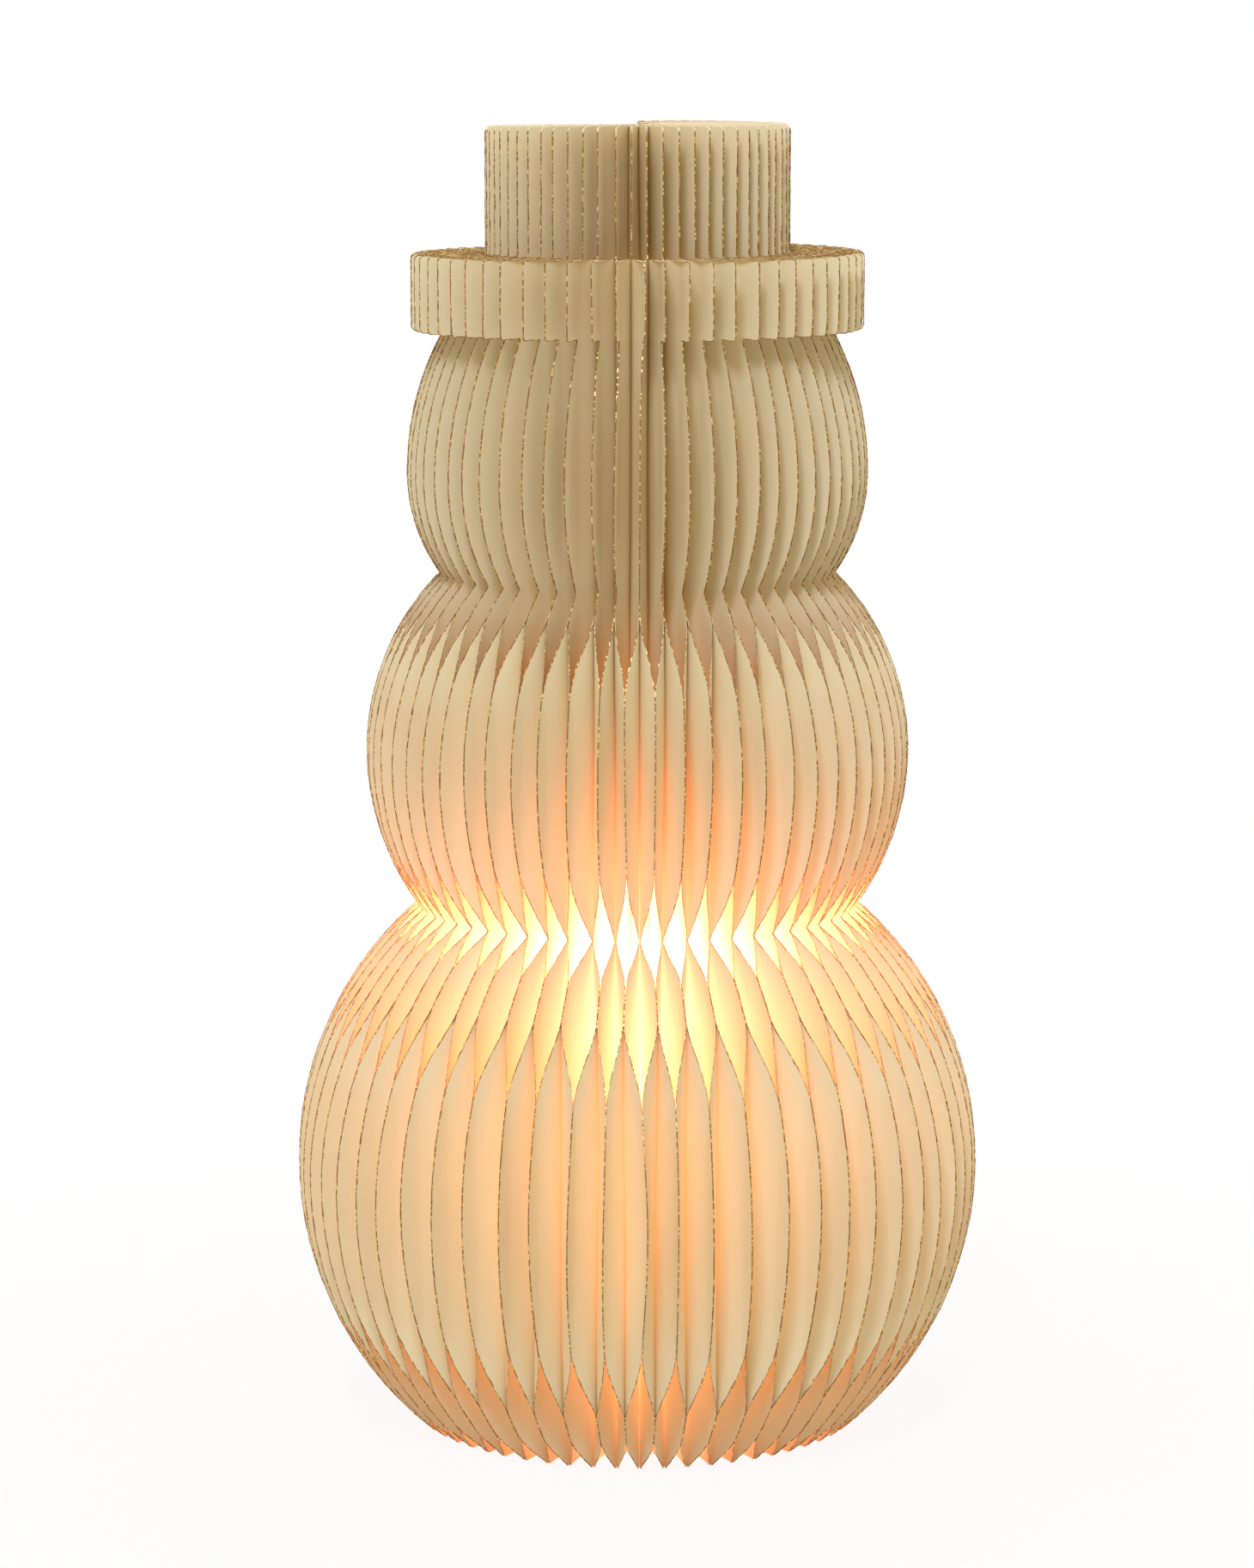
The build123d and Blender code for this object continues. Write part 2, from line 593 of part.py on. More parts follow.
def make_emitters():
    """Round board on the holder and the emitters on it."""
    with BuildPart() as board:
        with BuildSketch(Plane.XY.offset(HOLDER_TOP)):
            Circle(LED_BOARD_RADIUS)
        extrude(amount=LED_BOARD_THICKNESS)
    save(board.part, "led_board")

    with BuildPart() as emitters:
        with BuildSketch(Plane.XY.offset(HOLDER_TOP + LED_BOARD_THICKNESS)):
            with PolarLocations(LED_CIRCLE, LED_COUNT):
                Rectangle(LED_SIZE, LED_SIZE)
        extrude(amount=LED_HEIGHT)
    save(emitters.part, "led_emitters")


def make_globe():
    """Frosted globe with a short neck, and a bayonet slot over each lug of the holder."""
    neck_radius = NECK_BORE_RADIUS + GLOBE_WALL
    inside = GLOBE_RADIUS - GLOBE_WALL
    neck_top = NECK_BOTTOM + NECK_LENGTH
    bore_top = GLOBE_HEIGHT - sqrt(inside**2 - NECK_BORE_RADIUS**2)
    slot_bottom = LUG_MIDDLE - LUG_HEIGHT / 2 - LUG_CLEARANCE
    slot_height = LUG_HEIGHT + 2 * LUG_CLEARANCE
    lug_span = degrees((LUG_WIDTH + 2 * LUG_CLEARANCE) / COLLAR_RADIUS)
    with BuildPart() as globe:
        with BuildSketch(Plane.XZ):
            with BuildLine():
                Polyline((neck_radius, neck_top), (neck_radius, NECK_BOTTOM),
                         (NECK_BORE_RADIUS, NECK_BOTTOM), (NECK_BORE_RADIUS, bore_top))
                ThreePointArc((NECK_BORE_RADIUS, bore_top), (inside, GLOBE_HEIGHT),
                              (0, GLOBE_HEIGHT + inside))
                Line((0, GLOBE_HEIGHT + inside), (0, GLOBE_HEIGHT + GLOBE_RADIUS))
                ThreePointArc((0, GLOBE_HEIGHT + GLOBE_RADIUS), (GLOBE_RADIUS, GLOBE_HEIGHT),
                              (neck_radius, neck_top))
            make_face()
        revolve(axis=Axis.Z)
        with BuildSketch(Plane.XY.offset(slot_bottom)):
            for azimuth in (0, 180):
                add(ring_sector(COLLAR_RADIUS, neck_radius + OVERCUT, azimuth - GLOBE_TURN / 2,
                                GLOBE_TURN + lug_span))
        extrude(amount=slot_height, mode=Mode.SUBTRACT)
        with BuildSketch(Plane.XY.offset(NECK_BOTTOM)):
            for azimuth in (0, 180):
                add(ring_sector(COLLAR_RADIUS, neck_radius + OVERCUT, azimuth - GLOBE_TURN, lug_span))
        extrude(amount=slot_bottom - NECK_BOTTOM, mode=Mode.SUBTRACT)
    save(globe.part, "frosted_globe")


make_leaf_groups()
make_magnets()
make_housing()
make_cover()
make_door()
make_cells()
make_driver()
make_switch()
make_stem()
make_emitters()
make_globe()
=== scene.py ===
"""Dresses the packed snowman table lamp: pleated paper fan, light unit, studio and camera."""

import json
import logging
import math
from dataclasses import dataclass, field
from enum import Enum

import bpy
import numpy as np
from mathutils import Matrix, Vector

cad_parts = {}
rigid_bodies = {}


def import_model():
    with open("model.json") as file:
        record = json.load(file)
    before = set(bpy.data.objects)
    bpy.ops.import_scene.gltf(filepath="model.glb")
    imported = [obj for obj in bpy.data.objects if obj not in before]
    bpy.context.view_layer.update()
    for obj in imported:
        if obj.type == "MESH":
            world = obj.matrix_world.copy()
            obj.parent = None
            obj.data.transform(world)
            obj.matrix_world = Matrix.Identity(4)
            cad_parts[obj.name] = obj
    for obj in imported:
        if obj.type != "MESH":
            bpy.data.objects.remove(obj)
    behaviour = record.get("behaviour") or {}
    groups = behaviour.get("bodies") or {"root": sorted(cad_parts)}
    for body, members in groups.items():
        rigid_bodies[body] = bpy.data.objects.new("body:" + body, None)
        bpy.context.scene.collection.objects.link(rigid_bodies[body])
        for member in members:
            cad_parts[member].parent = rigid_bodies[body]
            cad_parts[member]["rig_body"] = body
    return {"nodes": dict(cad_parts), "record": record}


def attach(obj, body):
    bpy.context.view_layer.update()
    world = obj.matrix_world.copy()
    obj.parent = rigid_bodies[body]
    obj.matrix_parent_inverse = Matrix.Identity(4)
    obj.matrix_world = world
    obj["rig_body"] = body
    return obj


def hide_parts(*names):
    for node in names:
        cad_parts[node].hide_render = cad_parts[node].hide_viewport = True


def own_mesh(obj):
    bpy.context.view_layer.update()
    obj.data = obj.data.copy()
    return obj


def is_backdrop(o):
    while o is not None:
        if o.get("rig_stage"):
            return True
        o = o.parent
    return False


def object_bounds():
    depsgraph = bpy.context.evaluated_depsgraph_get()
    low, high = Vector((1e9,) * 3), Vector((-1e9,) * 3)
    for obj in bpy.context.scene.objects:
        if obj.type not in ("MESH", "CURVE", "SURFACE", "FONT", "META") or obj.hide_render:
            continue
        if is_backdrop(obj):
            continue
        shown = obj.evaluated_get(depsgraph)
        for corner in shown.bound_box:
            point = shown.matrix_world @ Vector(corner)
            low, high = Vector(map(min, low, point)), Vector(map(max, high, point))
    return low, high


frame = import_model()
log = logging.getLogger("snowman_lamp")

MM = 0.001
Triple = tuple[float, float, float]
Paint = tuple[float, float, float, float]
Pair = tuple[float, float]
Sheet = tuple[np.ndarray, np.ndarray, np.ndarray, np.ndarray]


def linear(red: int, green: int, blue: int) -> Paint:
    """Turns a screen colour, with shares from 0 to 255, into linear light with full opacity."""
    shares = [value / 255 for value in (red, green, blue)]
    light = [s / 12.92 if s <= 0.04045 else ((s + 0.055) / 1.055) ** 2.4 for s in shares]
    return (light[0], light[1], light[2], 1.0)


def ease(share: np.ndarray) -> np.ndarray:
    """Smooth step from 0 to 1: three times the square less twice the cube, held at both ends."""
    held = np.clip(share, 0.0, 1.0)
    return held * held * (3 - 2 * held)


class Gap(Enum):
    """The two kinds of gap between neighbouring leaves, by the glue strips that close them."""

    OUTER_GLUED = 0
    INNER_GLUED = 1


class Signal:
    """A number in a node tree: Python operators on it add Math nodes."""

    def __init__(self, graph: "Graph", socket: bpy.types.NodeSocket) -> None:
        """Wraps one output socket of the graph's tree."""
        self.graph = graph
        self.socket = socket

    def _math(self, operation: str, first: object, second: object) -> "Signal":
        """One Math node on two values or signals."""
        made = self.graph.node("ShaderNodeMath", {"operation": operation}, {0: first, 1: second})
        return Signal(self.graph, made.outputs[0])

    def __add__(self, other: object) -> "Signal":
        """Sum."""
        return self._math("ADD", self, other)

    def __radd__(self, other: object) -> "Signal":
        """Sum, reflected."""
        return self._math("ADD", other, self)

    def __sub__(self, other: object) -> "Signal":
        """Difference."""
        return self._math("SUBTRACT", self, other)

    def __rsub__(self, other: object) -> "Signal":
        """Difference, reflected."""
        return self._math("SUBTRACT", other, self)

    def __mul__(self, other: object) -> "Signal":
        """Product."""
        return self._math("MULTIPLY", self, other)

    def __rmul__(self, other: object) -> "Signal":
        """Product, reflected."""
        return self._math("MULTIPLY", other, self)

    def step(self, low: float, high: float) -> "Signal":
        """0 below low, 1 above high, smooth in between."""
        made = self.graph.node(
            "ShaderNodeMapRange",
            {"interpolation_type": "SMOOTHSTEP", "clamp": True},
            {"Value": self, "From Min": low, "From Max": high},
        )
        return Signal(self.graph, made.outputs["Result"])


class Graph:
    """Fills one node tree."""

    def __init__(self, tree: bpy.types.NodeTree) -> None:
        """Empties the tree."""
        self.tree = tree
        self.tree.nodes.clear()

    def node(self, kind: str, settings: dict[str, object], inputs: dict[object, object]) -> bpy.types.Node:
        """Adds a node.

        Args:
            kind: Blender's name for the node type.
            settings: properties, set before the sockets.
            inputs: socket name or number against a value, a socket or a signal.

        Returns:
            The new node.
        """
        made = self.tree.nodes.new(kind)
        for name, value in settings.items():
            setattr(made, name, value)
        for key, value in inputs.items():
            self.feed(made.inputs[key], value)
        return made

    def feed(self, socket: bpy.types.NodeSocket, value: object) -> None:
        """Links a signal or an output socket to an input, or sets the input's value."""
        if isinstance(value, Signal):
            self.tree.links.new(value.socket, socket)
        elif isinstance(value, bpy.types.NodeSocket):
            self.tree.links.new(value, socket)
        else:
            socket.default_value = value

    def seen(self) -> Signal:
        """1 where the camera, a mirror or clear glass looks, 0 where only light arrives."""
        path = self.node("ShaderNodeLightPath", {}, {})
        camera, glossy, through = (
            Signal(self, path.outputs[name])
            for name in ("Is Camera Ray", "Is Glossy Ray", "Is Transmission Ray")
        )
        return camera + glossy + through


class Recipe(Graph):
    """Builds the node tree of one material."""

    def __init__(self, name: str) -> None:
        """Starts a material of that name with one Principled shader."""
        self.material = bpy.data.materials.new(name)
        self.material.use_nodes = True
        super().__init__(self.material.node_tree)
        self.shader = self.node("ShaderNodeBsdfPrincipled", {}, {})
        self.output = self.node("ShaderNodeOutputMaterial", {}, {"Surface": self.shader.outputs[0]})
        self.place = self.node("ShaderNodeTexCoord", {}, {}).outputs["Object"]

    def noise(self, size: float, detail: float = 2.0, stretch: Triple = (1.0, 1.0, 1.0)) -> Signal:
        """Noise of about 0.5 on average.

        Args:
            size: feature size in metres.
            detail: octaves of finer noise.
            stretch: how often the pattern repeats along each axis, against the others.
        """
        mapped = self.node("ShaderNodeMapping", {}, {"Vector": self.place, "Scale": stretch})
        made = self.node(
            "ShaderNodeTexNoise", {}, {"Vector": mapped.outputs[0], "Scale": 1 / size, "Detail": detail}
        )
        return Signal(self, made.outputs["Fac"])

    def mix(self, share: object, first: object, second: object) -> bpy.types.NodeSocket:
        """Blends two colours or colour sockets: a share of 0 gives the first, 1 the second."""
        made = self.node("ShaderNodeMix", {"data_type": "RGBA"}, {"Factor": share})
        self.feed(made.inputs[6], first)
        self.feed(made.inputs[7], second)
        return made.outputs[2]

    def tint(self, colour: object, share: Signal) -> bpy.types.NodeSocket:
        """A colour scaled by a signal."""
        made = self.node("ShaderNodeVectorMath", {"operation": "SCALE"}, {0: colour, "Scale": share})
        return made.outputs[0]

    def attribute(self, name: str) -> bpy.types.Node:
        """Reads a mesh attribute by name."""
        return self.node("ShaderNodeAttribute", {"attribute_name": name}, {})

    def bump(self, height: Signal, strength: float, depth: float) -> bpy.types.NodeSocket:
        """Normal from a height signal, with the relief's depth in metres."""
        made = self.node("ShaderNodeBump", {}, {"Strength": strength, "Distance": depth, "Height": height})
        return made.outputs[0]

    def finish(self, inputs: dict[str, object]) -> bpy.types.Material:
        """Sets the shader's sockets by name, to values, sockets or signals, and gives the material."""
        for name, value in inputs.items():
            self.feed(self.shader.inputs[name], value)
        return self.material


@dataclass(frozen=True)
class PaperFinish:
    """Uncoated cream paper with gold glitter on its cut edges, lit through from inside.

    The mesh carries the light that comes through as the attribute glow, and the glitter as edge.
    """

    name: str = "cream_paper"
    cream: Paint = linear(238, 227, 199)
    shaded_cream: Paint = linear(228, 212, 175)
    dull_gold: Paint = linear(150, 108, 54)
    bright_gold: Paint = linear(240, 206, 136)
    fibre_size: float = 1.1 * MM
    cloud_size: float = 14 * MM
    fibre_length: Triple = (1.0, 1.0, 0.55)
    fibre_relief: float = 0.15 * MM
    glitter_size: float = 0.9 * MM
    glitter_share: Pair = (0.52, 0.62)
    roughness: float = 0.92
    gloss: float = 0.25

    def build(self) -> bpy.types.Material:
        """Makes the finish's material."""
        recipe = Recipe(self.name)
        fibre = recipe.noise(self.fibre_size, 3.0, self.fibre_length)
        cloud = recipe.noise(self.cloud_size, 2.0)
        sparkle = recipe.noise(self.glitter_size, 1.0).step(*self.glitter_share)
        edge = Signal(recipe, recipe.attribute("edge").outputs["Fac"])
        glow = recipe.attribute("glow").outputs["Color"]
        paper = recipe.mix(0.35 + 0.4 * cloud, self.shaded_cream, self.cream)
        gold = recipe.mix(sparkle, self.dull_gold, self.bright_gold)
        shine = edge * sparkle
        return recipe.finish({
            "Base Color": recipe.mix(edge, paper, gold),
            "Roughness": self.roughness - 0.1 * fibre - 0.45 * shine,
            "Metallic": 0.85 * shine,
            "Specular IOR Level": self.gloss,
            "Emission Color": recipe.tint(glow, (0.94 + 0.12 * fibre) * (1 - 0.8 * edge)),
            "Emission Strength": 1.0,
            "Normal": recipe.bump(fibre, 0.25, self.fibre_relief),
        })


@dataclass(frozen=True)
class MouldedFinish:
    """Moulded plastic or rubber with a fine eroded texture and faint handling marks."""

    name: str
    colour: Paint
    worn_colour: Paint
    roughness: float = 0.5
    grain_size: float = 0.7 * MM
    grain_depth: float = 0.04 * MM
    cloud_size: float = 18 * MM

    def build(self) -> bpy.types.Material:
        """Makes the finish's material."""
        recipe = Recipe(self.name)
        grain = recipe.noise(self.grain_size, 4.0)
        cloud = recipe.noise(self.cloud_size, 3.0)
        return recipe.finish({
            "Base Color": recipe.mix(0.5 * cloud + 0.2 * grain, self.colour, self.worn_colour),
            "Roughness": self.roughness - 0.08 + 0.16 * cloud,
            "Normal": recipe.bump(grain, 0.35, self.grain_depth),
        })


@dataclass(frozen=True)
class MetalFinish:
    """Bare or plated metal with a fine brushed grain along one axis."""

    name: str
    colour: Paint
    dull_colour: Paint
    roughness: float
    brush_length: Triple = (1.0, 1.0, 0.05)
    brush_size: float = 0.35 * MM
    brush_depth: float = 0.03 * MM
    cloud_size: float = 9 * MM

    def build(self) -> bpy.types.Material:
        """Makes the finish's material."""
        recipe = Recipe(self.name)
        brushed = recipe.noise(self.brush_size, 2.0, self.brush_length)
        cloud = recipe.noise(self.cloud_size, 3.0)
        return recipe.finish({
            "Base Color": recipe.mix(0.6 * cloud, self.colour, self.dull_colour),
            "Metallic": 1.0,
            "Roughness": self.roughness - 0.1 + 0.2 * brushed,
            "Normal": recipe.bump(brushed, 0.2, self.brush_depth),
        })


@dataclass(frozen=True)
class BoardFinish:
    """Circuit board under solder mask, with copper tracks that show through it."""

    name: str
    mask: Paint
    track: Paint
    tracks_per_metre: float = 220.0
    track_width: float = 0.035
    row_shift: float = 0.37
    weave_size: float = 0.5 * MM
    track_relief: float = 0.05 * MM

    def build(self) -> bpy.types.Material:
        """Makes the finish's material."""
        recipe = Recipe(self.name)
        bricks = recipe.node(
            "ShaderNodeTexBrick",
            {"offset": self.row_shift},
            {
                "Vector": recipe.place,
                "Scale": self.tracks_per_metre,
                "Mortar Size": self.track_width,
                "Mortar Smooth": 0.3,
            },
        )
        tracks = Signal(recipe, bricks.outputs["Fac"])
        weave = recipe.noise(self.weave_size, 1.0)
        return recipe.finish({
            "Base Color": recipe.mix(tracks * 0.8 + 0.1 * weave, self.mask, self.track),
            "Roughness": 0.34 + 0.12 * weave,
            "Normal": recipe.bump(tracks, 0.3, self.track_relief),
        })


@dataclass(frozen=True)
class JacketFinish:
    """Shrink film round a cell: a plain body with one pale band and a metal end."""

    name: str
    body: Paint
    band: Paint
    metal: Paint
    band_height: float
    band_width: float
    metal_height: float
    border: float = 0.1 * MM
    ripple_size: float = 6 * MM
    ripple_depth: float = 0.1 * MM

    def build(self) -> bpy.types.Material:
        """Makes the finish's material."""
        recipe = Recipe(self.name)
        split = recipe.node("ShaderNodeSeparateXYZ", {}, {0: recipe.place})
        height = Signal(recipe, split.outputs["Z"])
        low = self.band_height - self.band_width / 2
        high = self.band_height + self.band_width / 2
        banded = height.step(low, low + self.border) * (1 - height.step(high, high + self.border))
        metal = height.step(self.metal_height, self.metal_height + self.border)
        film = recipe.noise(self.ripple_size, 2.0)
        printed = recipe.mix(banded, self.body, self.band)
        return recipe.finish({
            "Base Color": recipe.mix(metal, printed, self.metal),
            "Metallic": metal,
            "Roughness": 0.22 + 0.12 * film,
            "Normal": recipe.bump(film, 0.15, self.ripple_depth),
        })


@dataclass(frozen=True)
class LitFinish:
    """A diffuser or emitter that gives warm light, a little uneven across its face."""

    name: str
    colour: Paint
    light: Paint
    dim_light: Paint
    strength: float
    roughness: float = 0.45
    cloud_size: float = 12 * MM
    frost_size: float = 0.5 * MM
    frost_depth: float = 0.05 * MM

    def build(self) -> bpy.types.Material:
        """Makes the finish's material."""
        recipe = Recipe(self.name)
        cloud = recipe.noise(self.cloud_size, 2.0)
        frost = recipe.noise(self.frost_size, 3.0)
        return recipe.finish({
            "Base Color": self.colour,
            "Roughness": self.roughness + 0.1 * frost,
            "Emission Color": recipe.mix(cloud, self.dim_light, self.light),
            "Emission Strength": self.strength,
            "Normal": recipe.bump(frost, 0.2, self.frost_depth),
        })


def quads(one: np.ndarray, two: np.ndarray, three: np.ndarray, four: np.ndarray) -> np.ndarray:
    """Splits quads into triangles, without those that repeat a point.

    Args:
        one, two, three, four: numbers of each quad's points, going round.

    Returns:
        One row of three point numbers for each triangle.
    """
    corners = [part.ravel() for part in (one, two, three, four)]
    halves = np.vstack([
        np.column_stack([corners[0], corners[1], corners[2]]),
        np.column_stack([corners[0], corners[2], corners[3]]),
    ])
    first, second, third = halves.T
    same = (first == second) | (second == third) | (third == first)
    return halves[~same]


def outward(points: np.ndarray, triangles: np.ndarray) -> np.ndarray:
    """Turns a closed mesh's triangles to face out, if its signed volume says that they face in."""
    one, two, three = (points[triangles[:, k]] for k in range(3))
    volume = np.einsum("ij,ij->i", one, np.cross(two, three)).sum()
    return triangles if volume > 0 else triangles[:, ::-1]


def new_object(name: str, data: bpy.types.ID) -> bpy.types.Object:
    """Makes an object of a mesh, lamp or camera and puts it in the scene."""
    made = bpy.data.objects.new(name, data)
    bpy.context.scene.collection.objects.link(made)
    return made


def new_mesh(
    name: str, points: np.ndarray, faces: np.ndarray, finish: bpy.types.Material
) -> bpy.types.Object:
    """Makes an object from arrays of points and triangles, smooth but for its sharp edges.

    Args:
        name: the object's name.
        points: one row of x, y and z for each point.
        faces: one row of three point numbers for each triangle.
        finish: material.

    Returns:
        The new object, in the scene.
    """
    sharp_angle = math.radians(35)
    mesh = bpy.data.meshes.new(name)
    mesh.from_pydata(points.tolist(), [], faces.tolist())
    mesh.materials.append(finish)
    mesh.shade_smooth()
    mesh.set_sharp_from_angle(angle=sharp_angle)
    mesh.update()
    return new_object(name, mesh)


@dataclass(frozen=True)
class Outline:
    """The cut edge of one leaf, in metres: radius and height of each place that shapes it."""

    base: Pair = (69.0 * MM, 0.0)
    belly: Pair = (105.5 * MM, 80.4 * MM)
    waist: Pair = (67.6 * MM, 161.1 * MM)
    chest: Pair = (83.4 * MM, 209.0 * MM)
    neck: Pair = (60.6 * MM, 263.9 * MM)
    head: Pair = (70.5 * MM, 294.8 * MM)
    crown: Pair = (59.4 * MM, 338.1 * MM)
    brim: Pair = (69.0 * MM, 361.7 * MM)
    hat: Pair = (46.4 * MM, 400.0 * MM)
    brim_corner: float = 1.6 * MM
    hat_corner: float = 2.2 * MM
    cavity_radius: float = 50.0 * MM
    cavity_height: float = 220.0 * MM
    cavity_corner: float = 22.0 * MM
    spine_radius: float = 8.0 * MM
    ball_points: int = 60
    corner_points: int = 8

    def _ball(self, widest: Pair, end: Pair) -> np.ndarray:
        """Arc from a ball's widest place to its end, as rows of radius and height.

        The circle stands upright at the widest place, so its radius is the squared chord over twice the
        difference of the two radii.
        """
        inward = widest[0] - end[0]
        rise = end[1] - widest[1]
        radius = (inward**2 + rise**2) / (2 * inward)
        last = math.atan2(rise, radius - inward)
        turn = np.linspace(0.0, last, self.ball_points)
        centre = widest[0] - radius
        return np.column_stack([centre + radius * np.cos(turn), widest[1] + radius * np.sin(turn)])

    def _corner(self, centre: Pair, radius: float, first: float, last: float) -> np.ndarray:
        """Arc of a circle between two angles in degrees, as rows of radius and height."""
        turn = np.radians(np.linspace(first, last, self.corner_points))
        return np.column_stack([centre[0] + radius * np.cos(turn), centre[1] + radius * np.sin(turn)])

    def edge(self) -> np.ndarray:
        """The cut edge from the table up and over the hat to the spine, as rows of radius and height."""
        brim_radius, brim_top = self.brim
        hat_radius, top = self.hat
        inner_brim = brim_radius - self.brim_corner
        runs = [
            self._ball(self.belly, self.base)[::-1],
            self._ball(self.belly, self.waist),
            self._ball(self.chest, self.waist)[::-1],
            self._ball(self.chest, self.neck),
            self._ball(self.head, self.neck)[::-1],
            self._ball(self.head, self.crown),
            self._corner((inner_brim, self.crown[1] + self.brim_corner), self.brim_corner, -90, 0),
            self._corner((inner_brim, brim_top - self.brim_corner), self.brim_corner, 0, 90),
            np.array([[hat_radius, brim_top]]),
            self._corner((hat_radius - self.hat_corner, top - self.hat_corner), self.hat_corner, 0, 90),
            np.array([[self.spine_radius, top]]),
        ]
        return np.vstack(runs)

    def outer(self, height: np.ndarray) -> np.ndarray:
        """Radius of the cut edge at each height; at a step it is the upper side's radius.

        Each point is held no lower than the one before and a hair above it, so that heights only rise.
        """
        line = self.edge()[:-1]
        hair = 1e-9
        order = np.maximum.accumulate(line[:, 1] + np.arange(len(line)) * hair)
        return np.interp(height, order, line[:, 0])

    def inner(self, height: np.ndarray) -> np.ndarray:
        """Radius of the hollow at each height: a wall, a rounded shoulder, and the spine above."""
        shoulder = self.cavity_height - self.cavity_corner
        above = np.clip(height - shoulder, 0.0, self.cavity_corner)
        rounded = self.cavity_radius - self.cavity_corner + np.sqrt(self.cavity_corner**2 - above**2)
        return np.where(height > self.cavity_height, self.spine_radius, rounded)


@dataclass(frozen=True)
class Honeycomb:
    """How the leaves lie round the axis, glued to one neighbour and the other in turn."""

    leaves: int = 120
    front: float = -90.0
    first_strip: float = 22.7 * MM
    strip_pitch: float = 20.0 * MM
    strip_width: float = 8.6 * MM
    clearance: float = 0.10 * MM
    pressed_reach: float = 6.0 * MM
    pressed_from: float = 261.0 * MM
    pressed_over: float = 14.0 * MM
    straight_share: float = 0.45
    scatter: float = 0.22
    seam_scatter: float = 0.3
    waver: float = 0.15
    waver_lengths: Triple = (0.33, 0.19, 0.11)
    lean_heights: Pair = (80 * MM, 350 * MM)
    lean_angles: Pair = (1.1, 1.4)
    lean_spans: Pair = (32 * MM, 22 * MM)
    seed: int = 11

    def closure(self, radius: np.ndarray, height: np.ndarray) -> np.ndarray:
        """How far a leaf has moved from the planes of one kind of strip (0) to the other's (1).

        It stays put across a strip and crosses over between strips, part straight and part smooth. In the
        head and the brim, the pressed pleats keep the third strip closed a little further out.

        Args:
            radius: radius of each place.
            height: height of each place.

        Returns:
            A number from 0 to 1 for each place.
        """
        reach = self.pressed_reach * ease((height - self.pressed_from) / self.pressed_over)
        strip_end = self.first_strip + 2 * self.strip_pitch + self.strip_width / 2
        strip_start = strip_end - self.strip_width
        next_start = strip_end + self.strip_pitch - self.strip_width
        pressed = radius
        inside = (radius > strip_start) & (radius <= strip_end + reach)
        beyond = (radius > strip_end + reach) & (radius < next_start)
        pressed = np.where(
            inside,
            strip_start + (radius - strip_start) * self.strip_width / (self.strip_width + reach),
            pressed,
        )
        left = next_start - strip_end
        pressed = np.where(beyond, next_start - (next_start - radius) * left / (left - reach), pressed)
        phase = (pressed - self.first_strip) / self.strip_pitch
        number = np.floor(phase)
        half = self.strip_width / 2 / self.strip_pitch
        share = np.clip((phase - number - half) / (1 - 2 * half), 0.0, 1.0)
        share = self.straight_share * share + (1 - self.straight_share) * ease(share)
        here = np.mod(number, 2)
        value = here + (1 - 2 * here) * share
        first_start = self.first_strip - self.strip_width / 2
        near_spine = 0.5 * (1 - ease(radius / first_start))
        return np.where(radius < first_start, near_spine, value)

    def planes(self, height: np.ndarray) -> np.ndarray:
        """Works out where every glued plane stands.

        Evenly spaced, with a small seeded scatter and a slow waver with height. The seam's two planes are
        one and the same and stay true, because the magnets hold it flat, but for a lean to the right at the
        belly and the brim, where its edge lies far from a magnet.

        Args:
            height: the heights to work it out for.

        Returns:
            Azimuth in radians of every plane (rows) at every height (columns).
        """
        random = np.random.default_rng(self.seed)
        step = 360.0 / self.leaves
        number = np.arange(self.leaves + 1)
        offset = random.normal(0.0, self.scatter, self.leaves + 1)
        waves = np.zeros((self.leaves + 1, len(height)))
        for length in self.waver_lengths:
            start = random.uniform(0.0, 2 * math.pi, (self.leaves + 1, 1))
            waves += np.sin(2 * math.pi * height[None, :] / length + start)
        offset[[0, -1]] = 0.0
        waves[[0, -1]] = 0.0
        offset[[1, 2, -3, -2]] *= self.seam_scatter
        lean = np.zeros(len(height))
        for centre, angle, span in zip(self.lean_heights, self.lean_angles, self.lean_spans):
            lean += angle * np.exp(-(((height - centre) / span) ** 2))
        waves[[0, -1]] += lean / self.waver
        return np.radians(self.front + number[:, None] * step + offset[:, None] + self.waver * waves)


